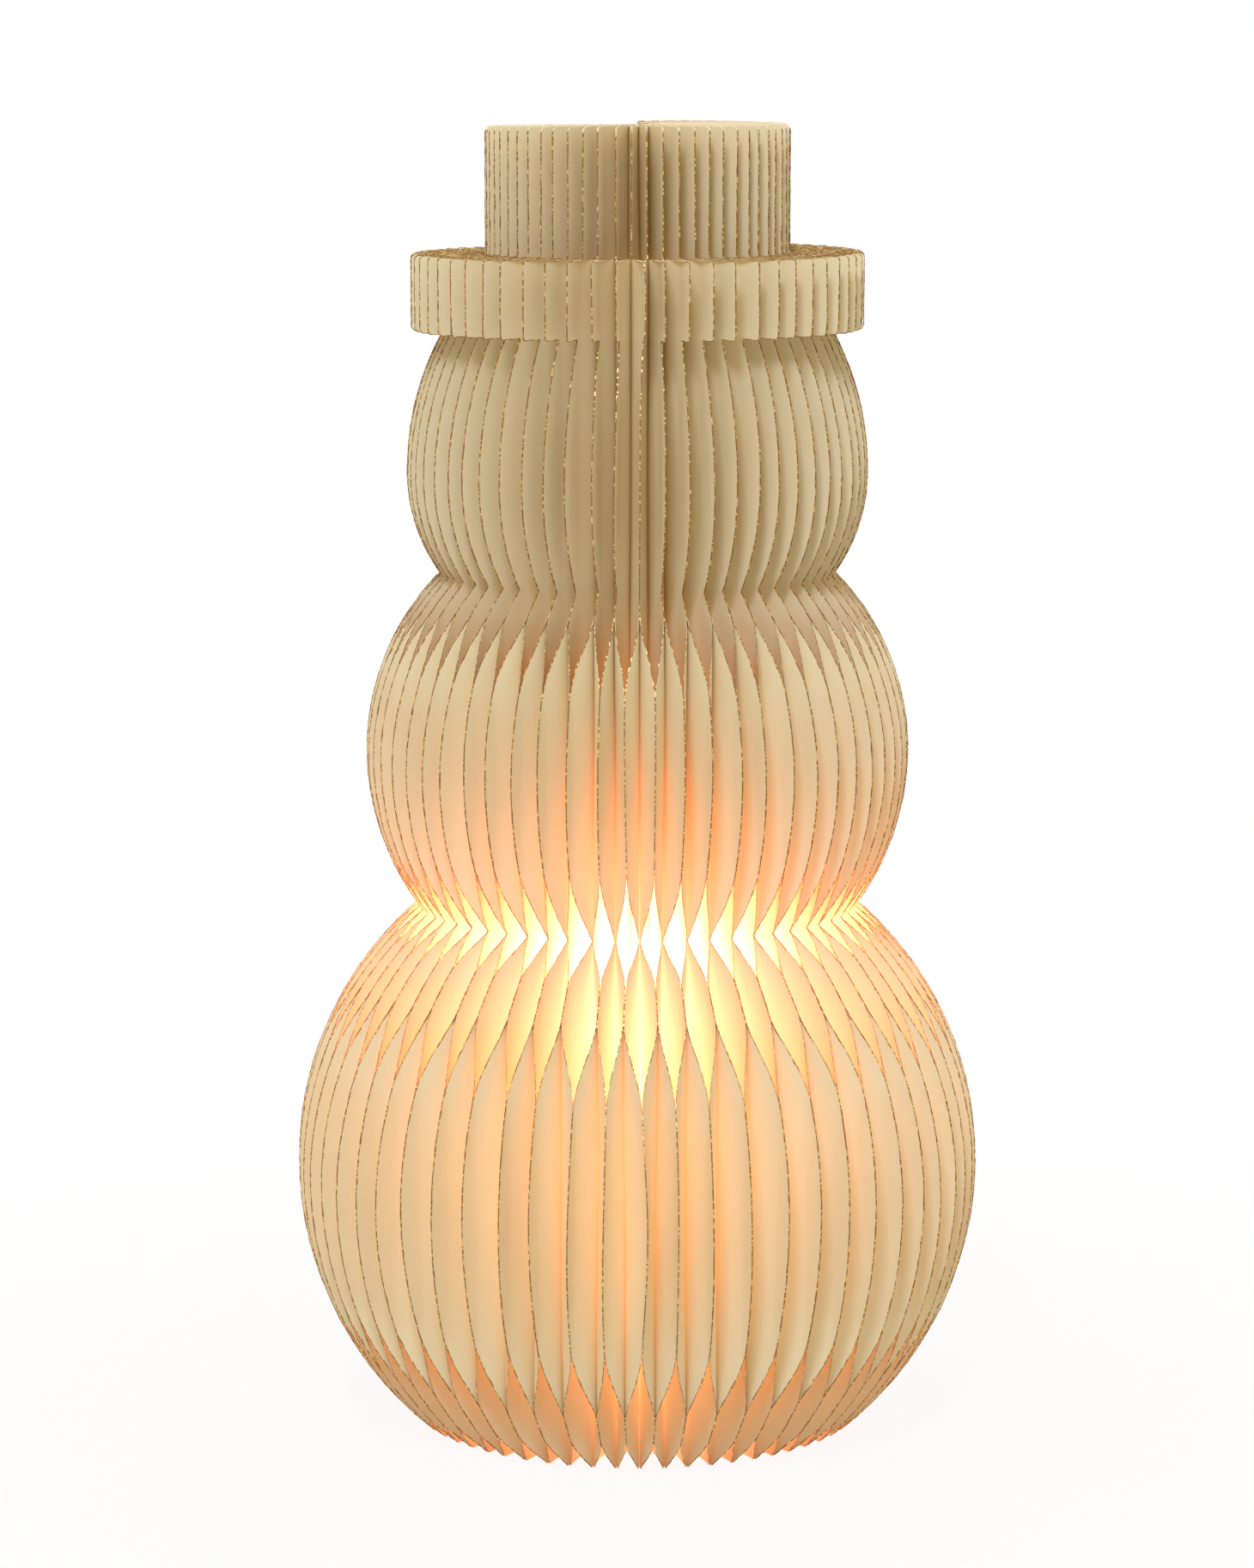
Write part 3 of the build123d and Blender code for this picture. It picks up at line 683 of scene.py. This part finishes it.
@dataclass
class LightField:
    """Light that spreads from the globe through the paper body, worked out on a grid of radius and height.

    Each kind of gap holds its own light. It drifts along a gap freely where the gap is open and slowly
    through the glued strips, passes through the leaves between the two kinds, loses a share to the paper,
    and leaves at the cut edge. Inside the hollow it is given by the globe: the strength over one plus the
    squared height from the globe against its reach, to the power of its falloff. Upwards the reach is
    shorter, because the hollow closes there. A faint warm light fills every deep place.
    """

    outline: Outline
    honeycomb: Honeycomb
    globe_height: float = 147.0 * MM
    strength: Triple = (12.4, 2.52, 2.25)
    loss: Triple = (0.92, 0.66, 1.22)
    reach: Triple = (155.6 * MM, 180.0 * MM, 165.0 * MM)
    upward_share: Triple = (0.368, 0.305, 0.262)
    falloff: float = 3.78
    passing: float = 3.9
    glue_passing: float = 0.151
    deep_glow: Triple = (0.048, 0.024, 0.002)
    deep_span: float = 25 * MM
    loss_span: float = 20 * MM
    radius_step: float = 2 * MM
    height_step: float = 4 * MM
    edge_margin: float = 0.5 * MM
    sweeps: int = 500
    overshoot: float = 1.6
    table: np.ndarray = field(init=False)

    def __post_init__(self) -> None:
        """Works out the light once."""
        past_belly = self.outline.belly[0] + 2 * self.radius_step
        self.radii = np.arange(self.outline.spine_radius, past_belly, self.radius_step)
        self.heights = np.arange(0.0, self.outline.hat[1] + self.height_step / 2, self.height_step)
        self.table = self._spread()

    def _spread(self) -> np.ndarray:
        """Relaxes the light to its steady state.

        Each cell becomes the average of its neighbours, weighted by how freely light passes to them, over
        that weight and its losses. Odd and even cells take turns and overshoot a little, which settles it
        sooner.

        Returns:
            Array of gap kind, colour channel, radius and height.
        """
        radius, height = np.meshgrid(self.radii, self.heights, indexing="ij")
        closed = self.honeycomb.closure(radius, np.zeros_like(height))
        openness = np.stack([1 - closed, closed])[:, None]
        ease_of_flow = self.glue_passing + (1 - self.glue_passing) * openness
        across = np.minimum(ease_of_flow[:, :, 1:], ease_of_flow[:, :, :-1]) / (self.radius_step / MM) ** 2
        along = np.minimum(ease_of_flow[..., 1:], ease_of_flow[..., :-1]) / (self.height_step / MM) ** 2
        span = (self.loss_span / MM) ** 2
        passing = self.passing / span
        loss = np.array(self.loss)[None, :, None, None] / span
        hollow = (height < self.outline.cavity_height) & (radius < self.outline.cavity_radius)
        outside = radius > self.outline.outer(self.heights)[None, :] + self.edge_margin
        free = ~(hollow | outside)
        above = self.heights[None, :] - self.globe_height
        upward_share = np.array(self.upward_share)[:, None]
        reach = np.array(self.reach)[:, None] * np.where(above > 0, upward_share, 1.0)
        source = np.array(self.strength)[:, None] * (1 + (above / reach) ** 2) ** -self.falloff
        light = np.where(hollow, source[:, None, :], 0.0)[None].repeat(2, axis=0)
        weight = np.zeros_like(light) + passing + loss
        weight[:, :, 1:] += across
        weight[:, :, :-1] += across
        weight[..., 1:] += along
        weight[..., :-1] += along
        odd = (np.add.outer(np.arange(len(self.radii)), np.arange(len(self.heights))) % 2).astype(bool)
        for _ in range(self.sweeps):
            for turn in (odd & free, ~odd & free):
                total = passing * light[::-1]
                total[:, :, 1:] += across * light[:, :, :-1]
                total[:, :, :-1] += across * light[:, :, 1:]
                total[..., 1:] += along * light[..., :-1]
                total[..., :-1] += along * light[..., 1:]
                light = np.where(turn, light + self.overshoot * (total / weight - light), light)
        return light

    def at(self, gap: Gap, radius: np.ndarray, height: np.ndarray) -> np.ndarray:
        """Light on a face, blended between the four nearest grid places.

        Args:
            gap: kind of gap that the face looks into.
            radius: radius of each point.
            height: height of each point.

        Returns:
            One row of red, green and blue for each point.
        """
        short_of_last = 1.001
        across = np.clip((radius - self.radii[0]) / self.radius_step, 0, len(self.radii) - short_of_last)
        along = np.clip(height / self.height_step, 0, len(self.heights) - short_of_last)
        column = across.astype(int)
        row = along.astype(int)
        right = (across - column)[None, :]
        up = (along - row)[None, :]
        light = self.table[gap.value]
        low = light[:, column, row] * (1 - right) + light[:, column + 1, row] * right
        high = light[:, column, row + 1] * (1 - right) + light[:, column + 1, row + 1] * right
        depth = np.clip(self.outline.outer(height) - radius, 0.0, None)
        deep = (1 - np.exp(-depth / self.deep_span))[:, None] * np.array(self.deep_glow)
        return (low * (1 - up) + high * up).T + deep


@dataclass
class PaperFan:
    """The pleated paper body, one piece for each CAD group of leaves."""

    outline: Outline
    honeycomb: Honeycomb
    light: LightField
    leaves_per_piece: int = 4
    half_thickness: float = 0.06 * MM
    half_glitter: float = 0.085 * MM
    glitter_step: float = 0.75 * MM
    glitter_width: float = 0.22 * MM
    glitter_margin: float = 0.02 * MM
    glitter_waver: float = 0.22 * MM
    edge_inset: float = 0.25 * MM
    row_step: float = 5.5 * MM
    droop: float = 1.3 * MM
    # painted light on the hat's top edge, as red, green and blue
    top_light: Triple = (0.10, 0.105, 0.09)
    rim_light: Triple = (0.80, 0.56, 0.27)
    top_strip: float = 1.5 * MM
    shade_depth: float = 1.5 * MM
    rim_depth: float = 0.1 * MM
    gap_scatter: float = 0.07
    gap_limits: Pair = (0.8, 1.25)
    plane_heights: int = 801
    step_rise: float = 0.05 * MM
    tolerance: float = 0.01 * MM
    brim_band: float = 0.5 * MM
    shoulder_shares: tuple[float, ...] = (0.6, 0.35, 0.17, 0.06)
    crossing_columns: int = 7
    keep: float = 0.065
    seed: int = 5

    def __post_init__(self) -> None:
        """Works out the grid that all leaves share."""
        self.groups = self.honeycomb.leaves // self.leaves_per_piece
        self.random = np.random.default_rng(self.seed)
        self.heights = np.linspace(0.0, self.outline.hat[1], self.plane_heights)
        self.plane_table = self.honeycomb.planes(self.heights)
        gap_light = self.random.normal(1.0, self.gap_scatter, self.honeycomb.leaves + 1)
        self.gap_light = gap_light.clip(*self.gap_limits)

    def azimuth(self, plane: int, height: np.ndarray) -> np.ndarray:
        """Azimuth of a glued plane at each height, in radians."""
        return np.interp(height, self.heights, self.plane_table[plane])

    def place(self, leaf: int, radius: np.ndarray, height: np.ndarray, across: np.ndarray) -> np.ndarray:
        """Points on a leaf.

        The leaf lies between two glued planes, a paper's width off each, and moves from one to the other
        between glue strips. A point's azimuth is its leaf's plus its distance across over its radius. The
        upper half of the left leaves sinks a little, most at the back and hardly at all beside the seam.

        Args:
            leaf: number of the leaf, counted from the seam.
            radius: distance of each point from the axis.
            height: height of each point.
            across: distance of each point off the leaf's middle surface.

        Returns:
            One row of x, y and z for each point.
        """
        low = self.azimuth(leaf, height)
        high = self.azimuth(leaf + 1, height)
        closed = self.honeycomb.closure(radius, height)
        share = closed if leaf % 2 == 0 else 1 - closed
        off = self.honeycomb.clearance / radius
        turned = low + off + share * (high - low - 2 * off) + across / radius
        half = self.honeycomb.leaves // 2
        sag = ease((self.honeycomb.leaves - leaf) / half) if leaf >= half else 0.0
        sink = self.droop * float(sag) * ease(height / self.outline.hat[1] * 2 - 1)
        return np.column_stack([radius * np.cos(turned), radius * np.sin(turned), height - sink])

    def glow(self, leaf: int, radius: np.ndarray, height: np.ndarray, ahead: np.ndarray) -> np.ndarray:
        """Light on the faces of a leaf, with each gap a little brighter or dimmer than the next.

        The edge round the hollow is held to a warm glow, so that it shows when the fan is folded open.

        Args:
            leaf: number of the leaf.
            radius: radius of each point.
            height: height of each point.
            ahead: whether each point is on the side towards the next leaf.

        Returns:
            One row of red, green and blue for each point.
        """
        ahead_gap, behind_gap = (Gap.OUTER_GLUED, Gap.INNER_GLUED)
        if leaf % 2:
            ahead_gap, behind_gap = behind_gap, ahead_gap
        front = self.light.at(ahead_gap, radius, height) * self.gap_light[leaf + 1]
        back = self.light.at(behind_gap, radius, height) * self.gap_light[leaf]
        light = np.where(ahead[:, None], front, back)
        on_rim = radius < self.outline.inner(height) + self.rim_depth
        return np.where(on_rim[:, None], np.minimum(light, np.array(self.rim_light)), light)

    def sheet_grid(self) -> tuple[np.ndarray, np.ndarray]:
        """Chooses the columns and rows of a leaf's grid, with rows doubled at the steps.

        Returns:
            Radius of each column, and height of each row.
        """
        outline = self.outline
        inset = self.edge_inset
        rise = self.step_rise
        count = int(outline.hat[1] / self.row_step)
        even = np.linspace(0.0, outline.hat[1] - inset, count)
        steps = [
            outline.cavity_height - rise,
            outline.cavity_height + rise,
            outline.crown[1] + inset,
            outline.crown[1] + inset + rise,
            outline.brim[1] - inset,
            outline.brim[1] - inset + rise,
        ]
        shoulder = outline.cavity_height - outline.cavity_corner * np.array(self.shoulder_shares)
        balls = [outline.belly[1], outline.waist[1], outline.chest[1], outline.neck[1], outline.head[1]]
        rows = np.unique(np.round(np.concatenate([even, steps, shoulder, balls]), 6))
        comb = self.honeycomb
        columns = [outline.spine_radius, outline.cavity_radius]
        strip = comb.first_strip - comb.strip_width / 2
        while strip < outline.belly[0]:
            between = np.linspace(comb.strip_width, comb.strip_pitch, self.crossing_columns)
            columns.extend(strip + between)
            columns.append(strip)
            strip += comb.strip_pitch
        return np.unique(np.round(np.array(columns), 6)), rows

    def sheet(self, leaf: int) -> Sheet:
        """One leaf without its glitter: a thin closed sheet.

        The grid of radius and height is held between the hollow and the cut edge, once on each side, and a
        rim joins the two. Points that the holding brings together become one, and faces without area go.

        Args:
            leaf: number of the leaf.

        Returns:
            Points, triangles, glow and edge values.
        """
        columns, rows = self.sheet_grid()
        inset = self.edge_inset
        outer = self.outline.outer(rows) - inset
        crown, brim = self.outline.crown[1], self.outline.brim[1]
        under_brim = (rows > crown - self.tolerance) & (rows < crown + inset + self.tolerance)
        outer = np.where(under_brim, self.outline.crown[0] - inset, outer)
        over_brim = (rows > brim - inset + self.tolerance) & (rows < brim + self.brim_band)
        outer = np.where(over_brim, self.outline.hat[0] - inset, outer)
        inner = self.outline.inner(rows)
        radius = np.clip(columns[None, :], inner[:, None], outer[:, None])
        row_count, column_count = radius.shape
        grain, row_key = 1e-7, 10_000_000
        keys = np.round(radius / grain).astype(np.int64) + np.arange(row_count)[:, None] * row_key
        _, first, merged = np.unique(keys.ravel(), return_index=True, return_inverse=True)
        flat_radius = radius.ravel()[first]
        flat_height = np.repeat(rows, column_count)[first]
        count = len(first)
        front = merged.reshape(row_count, column_count)
        back = front + count
        sides = [
            quads(front[:-1, :-1], front[:-1, 1:], front[1:, 1:], front[1:, :-1]),
            quads(back[:-1, :-1], back[1:, :-1], back[1:, 1:], back[:-1, 1:]),
            quads(front[0, :-1], back[0, :-1], back[0, 1:], front[0, 1:]),
            quads(front[-1, :-1], front[-1, 1:], back[-1, 1:], back[-1, :-1]),
            quads(front[:-1, -1], back[:-1, -1], back[1:, -1], front[1:, -1]),
            quads(front[:-1, 0], front[1:, 0], back[1:, 0], back[:-1, 0]),
        ]
        triangles = np.vstack(sides)
        radii = np.tile(flat_radius, 2)
        levels = np.tile(flat_height, 2)
        ahead = np.arange(2 * count) < count
        across = np.where(ahead, self.half_thickness, -self.half_thickness)
        points = self.place(leaf, radii, levels, across)
        return points, triangles, self.glow(leaf, radii, levels, ahead), np.zeros(2 * count)

    def glitter(self, leaf: int) -> Sheet:
        """The ragged line of glitter along a leaf's cut edge: a four-sided tube along the outline.

        The outline is walked in even steps. The tube's outer side keeps a little inside the cut edge and its
        inner side lies further in, both by seeded random amounts smoothed over a few steps. Its width varies
        from 0.35 to 1.65 of its value, and its half thickness likewise from 0.55, thick lumps being rarer.

        Args:
            leaf: number of the leaf.

        Returns:
            Points, triangles, glow and edge values.
        """
        line = self.outline.edge()
        runs = np.hypot(*np.diff(line, axis=0).T)
        length = np.concatenate([[0.0], np.cumsum(runs)])
        count = int(length[-1] / self.glitter_step)
        walk = np.linspace(0.0, length[-1], count)
        path = np.column_stack([np.interp(walk, length, line[:, 0]), np.interp(walk, length, line[:, 1])])
        ahead_of = np.gradient(path, axis=0)
        ahead_of /= np.linalg.norm(ahead_of, axis=1)[:, None]
        inward = np.column_stack([-ahead_of[:, 1], ahead_of[:, 0]])
        smooth = np.array([0.25, 0.5, 0.25])
        rough = [np.convolve(self.random.uniform(0.0, 1.0, count + 2), smooth, "valid") for _ in range(3)]
        outer = path + inward * (self.glitter_margin + self.glitter_waver * rough[0][:, None])
        width = self.glitter_width * (0.35 + 1.3 * rough[1])
        inner = outer + inward * width[:, None]
        outer[:, 1] = outer[:, 1].clip(0.0, None)
        inner[:, 1] = inner[:, 1].clip(0.0, None)
        both = np.vstack([outer, inner, inner, outer])
        lumps = self.half_glitter * (0.55 + 1.1 * rough[2] ** 2)
        across = np.concatenate([lumps, lumps, -lumps, -lumps])
        points = self.place(leaf, both[:, 0], both[:, 1], across)
        corner = [np.arange(count) + side * count for side in range(4)]
        sides = [
            quads(corner[k][:-1], corner[k][1:], corner[(k + 1) % 4][1:], corner[(k + 1) % 4][:-1])
            for k in range(4)
        ]
        ends = np.array([
            [corner[0][0], corner[1][0], corner[2][0]],
            [corner[0][0], corner[2][0], corner[3][0]],
            [corner[0][-1], corner[2][-1], corner[1][-1]],
            [corner[0][-1], corner[3][-1], corner[2][-1]],
        ])
        on_top = both[:, 1] > self.outline.hat[1] - self.top_strip
        gold = np.where(on_top, 0.0, 1.0)
        shade = self.glow(leaf, both[:, 0] - self.shade_depth, both[:, 1], across > 0)
        # painted light: the strip along the hat's top edge glows pale, standing in for the bright rim where
        # light shines through the paper's edge
        shade += on_top[:, None] * np.array(self.top_light)
        return points, np.vstack([*sides, ends]), shade, gold

    def piece(self, group: int, finish: bpy.types.Material) -> bpy.types.Object:
        """Builds and dresses one group of leaves; groups count from 0 at the right of the seam."""
        points, triangles, shades, golds = [], [], [], []
        start = 0
        for number in range(self.leaves_per_piece):
            leaf = group * self.leaves_per_piece + number
            for part in (self.sheet(leaf), self.glitter(leaf)):
                faces = outward(part[0], part[1])
                points.append(part[0])
                triangles.append(faces + start)
                shades.append(part[2])
                golds.append(part[3])
                start += len(part[0])
        name = f"pleats_{group + 1:02d}"
        made = new_mesh(name, np.vstack(points), np.vstack(triangles), finish)
        mesh = made.data
        shade = np.column_stack([np.vstack(shades), np.ones(start)]).astype(np.float32)
        mesh.attributes.new("glow", "FLOAT_COLOR", "POINT").data.foreach_set("color", shade.ravel())
        gold = np.concatenate(golds).astype(np.float32)
        mesh.attributes.new("edge", "FLOAT", "POINT").data.foreach_set("value", gold)
        return made

    def attach(self, made: bpy.types.Object, group: int) -> None:
        """Ties a piece to the body, node and joint of its CAD group.
        """
        node = f"paper_leaves_{group + 1:02d}"
        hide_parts(node)
        body = frame["nodes"][node]["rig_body"]
        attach(made, body)
        if body == "paper_core":
            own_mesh(made)
            return
        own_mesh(made)

    def build(self, finish: bpy.types.Material) -> None:
        """Builds every piece of the fan from the paper finish, and ties it to the frame."""
        for group in range(self.groups):
            made = self.piece(group, finish)
            self.attach(made, group)
        log.info("paper fan: %d pieces, %d faces each", self.groups, len(made.data.polygons))


class LightUnitFinishes:
    """Finishes of the light unit and the magnets, by the record's material slot."""

    def __init__(self) -> None:
        """Makes one material for each slot that the light unit uses."""
        finishes = {
            "magnet": MetalFinish("nickel_plate", linear(222, 220, 214), linear(178, 176, 170), 0.25),
            "white_plastic": MouldedFinish("white_moulding", linear(238, 236, 229), linear(226, 222, 211)),
            "black_plastic": MouldedFinish("black_moulding", linear(38, 38, 39), linear(52, 51, 50), 0.42),
            "rubber": MouldedFinish("soft_rubber", linear(46, 45, 44), linear(66, 64, 62), 0.85),
            "steel": MetalFinish("plated_steel", linear(205, 205, 203), linear(160, 160, 158), 0.32),
            "cell_jacket": JacketFinish(
                "cell_film",
                body=linear(44, 74, 58),
                band=linear(214, 206, 178),
                metal=linear(196, 196, 192),
                band_height=47 * MM,
                band_width=9 * MM,
                metal_height=56.2 * MM,
            ),
            "board": BoardFinish("green_board", linear(22, 84, 48), linear(64, 132, 78)),
            "led_board": BoardFinish("white_board", linear(236, 236, 230), linear(214, 210, 196)),
            "emitter": LitFinish(
                "lit_emitter",
                colour=linear(255, 214, 120),
                light=linear(255, 236, 196),
                dim_light=linear(255, 214, 150),
                strength=8.0,
            ),
            "stem_metal": MetalFinish("satin_stem", linear(214, 214, 212), linear(186, 186, 184), 0.38),
            "wire_jacket": MouldedFinish("vinyl_wire", linear(168, 30, 26), linear(140, 24, 22), 0.4),
            "frosted_plastic": LitFinish(
                "frosted_globe",
                colour=linear(232, 216, 186),
                light=linear(255, 232, 180),
                dim_light=linear(255, 208, 128),
                strength=0.32,
            ),
        }
        self.materials = {slot: finish.build() for slot, finish in finishes.items()}

    def dress(self) -> None:
        """Gives every CAD node outside the paper fan the material of its slot."""
        for part in frame["record"]["subparts"]:
            slot = part["material_slot"]
            if slot not in self.materials:
                continue
            for surface in frame["nodes"][part["node"]].material_slots:
                surface.material = self.materials[slot]
            log.info("%s: %s", part["node"], self.materials[slot].name)


@dataclass(frozen=True)
class Lamp:
    """A square soft lamp, sized and placed in metres, with its power in watts."""

    name: str
    place: Triple
    size: float
    power: float
    colour: Triple

    def build(self, aim: Vector) -> None:
        """Makes the lamp, facing the aim."""
        data = bpy.data.lights.new(self.name, "AREA")
        data.size = self.size
        data.energy = self.power
        data.color = self.colour
        made = new_object(self.name, data)
        made.location = self.place
        made.rotation_euler = (aim - Vector(self.place)).to_track_quat("-Z", "Y").to_euler()


@dataclass
class Studio:
    """Pale floor, soft lamps and the camera, set for the photograph's frame, frame_height pixels high.

    The key stands high in front, a little to the left, so that the left half of the pleats looks smooth
    and the right half shows pale edges and shaded valleys. The other lamp lights the back.
    """

    key: Lamp = Lamp("key", (-0.26, -1.47, 1.78), 0.45, 20.5, (0.79, 0.85, 1.0))
    back: Lamp = Lamp("back", (0.35, 1.6, 0.9), 0.9, 9.0, (1.0, 0.96, 0.86))
    aim_height: float = 0.22
    frame_height: int = 1826
    focal_pixels: float = 5718.0
    distance: float = 1.496
    camera_height: float = 0.4358
    pitch: float = 9.04
    camera_azimuth: float = -0.45
    sideways: float = -3.2 * MM
    sensor: float = 36.0
    nearest: float = 0.05
    farthest: float = 50.0
    sky_colour: Paint = (1.0, 0.93, 0.72, 1.0)
    sky_level: float = 0.475
    sky_rise: float = 0.56
    floor_paint: Paint = linear(222, 221, 219)
    floor_reach: float = 6.0
    floor_lines: int = 33
    floor_drop: float = 0.2 * MM
    floor_white: float = 0.9
    fade: Pair = (0.16, 0.42)

    def floor(self) -> None:
        """A wide pale floor whose far parts run into the white background.

        Where the camera looks it is mostly plain white, and wholly so past the fade. The rest is paint,
        which keeps the object's shadow.
        """
        line = np.linspace(-self.floor_reach, self.floor_reach, self.floor_lines)
        across, back = np.meshgrid(line, line, indexing="ij")
        points = np.column_stack([across.ravel(), back.ravel(), np.full(across.size, -self.floor_drop)])
        number = np.arange(across.size).reshape(across.shape)
        faces = quads(number[:-1, :-1], number[1:, :-1], number[1:, 1:], number[:-1, 1:])
        recipe = Recipe("studio_floor")
        recipe.finish({"Base Color": self.floor_paint, "Roughness": 0.9, "Specular IOR Level": 0.1})
        away = recipe.node("ShaderNodeVectorMath", {"operation": "LENGTH"}, {0: recipe.place})
        far = Signal(recipe, away.outputs["Value"]).step(*self.fade)
        white = recipe.node("ShaderNodeEmission", {}, {"Color": (1, 1, 1, 1), "Strength": 1.0})
        share = recipe.seen() * (self.floor_white + (1 - self.floor_white) * far)
        mixed = recipe.node(
            "ShaderNodeMixShader", {}, {0: share, 1: recipe.shader.outputs[0], 2: white.outputs[0]}
        )
        recipe.feed(recipe.output.inputs["Surface"], mixed.outputs[0])
        made = new_mesh("floor", points, faces, recipe.material)
        made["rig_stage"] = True

    def world(self) -> None:
        """White where the camera looks, softer where it only gives light, more from above than below."""
        world = bpy.data.worlds.new("studio_world")
        bpy.context.scene.world = world
        world.use_nodes = True
        graph = Graph(world.node_tree)
        place = graph.node("ShaderNodeTexCoord", {}, {})
        split = graph.node("ShaderNodeSeparateXYZ", {}, {0: place.outputs["Generated"]})
        sky = Signal(graph, split.outputs["Z"]) * self.sky_rise + self.sky_level
        soft = graph.node("ShaderNodeBackground", {}, {"Color": self.sky_colour, "Strength": sky})
        white = graph.node("ShaderNodeBackground", {}, {"Color": (1, 1, 1, 1), "Strength": 1.0})
        mixed = graph.node(
            "ShaderNodeMixShader", {}, {0: graph.seen(), 1: soft.outputs[0], 2: white.outputs[0]}
        )
        graph.node("ShaderNodeOutputWorld", {}, {"Surface": mixed.outputs[0]})

    def camera(self) -> None:
        """The camera, at the photograph's height, tilt and distance."""
        data = bpy.data.cameras.new("camera")
        data.sensor_width = self.sensor
        data.lens = self.sensor * self.focal_pixels / self.frame_height
        data.clip_start = self.nearest
        data.clip_end = self.farthest
        made = new_object("camera", data)
        turn = math.radians(self.camera_azimuth)
        right = Vector((math.cos(turn), math.sin(turn), 0.0))
        back = Vector((math.sin(turn), -math.cos(turn), 0.0))
        made.location = back * self.distance + right * self.sideways + Vector((0, 0, self.camera_height))
        made.rotation_euler = (math.radians(90 - self.pitch), 0.0, turn)
        bpy.context.scene.camera = made

    def build(self) -> None:
        """Sets up the whole studio."""
        self.floor()
        self.world()
        for lamp in (self.key, self.back):
            lamp.build(Vector((0.0, 0.0, self.aim_height)))
        self.camera()
        bpy.context.scene.view_settings.view_transform = "Standard"
        log.info("studio ready")


def corners() -> list[list[float]]:
    """The shown object's box as plain lists."""
    return [list(map(float, corner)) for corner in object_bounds()]


def main() -> None:
    """Builds the lamp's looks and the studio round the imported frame."""
    logging.basicConfig(level=logging.INFO, format="%(name)s: %(message)s")
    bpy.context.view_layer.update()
    Studio().build()
    outline = Outline()
    honeycomb = Honeycomb()
    fan = PaperFan(outline, honeycomb, LightField(outline, honeycomb))
    fan.build(PaperFinish().build())
    LightUnitFinishes().dress()


if __name__ == "__main__":
    main()
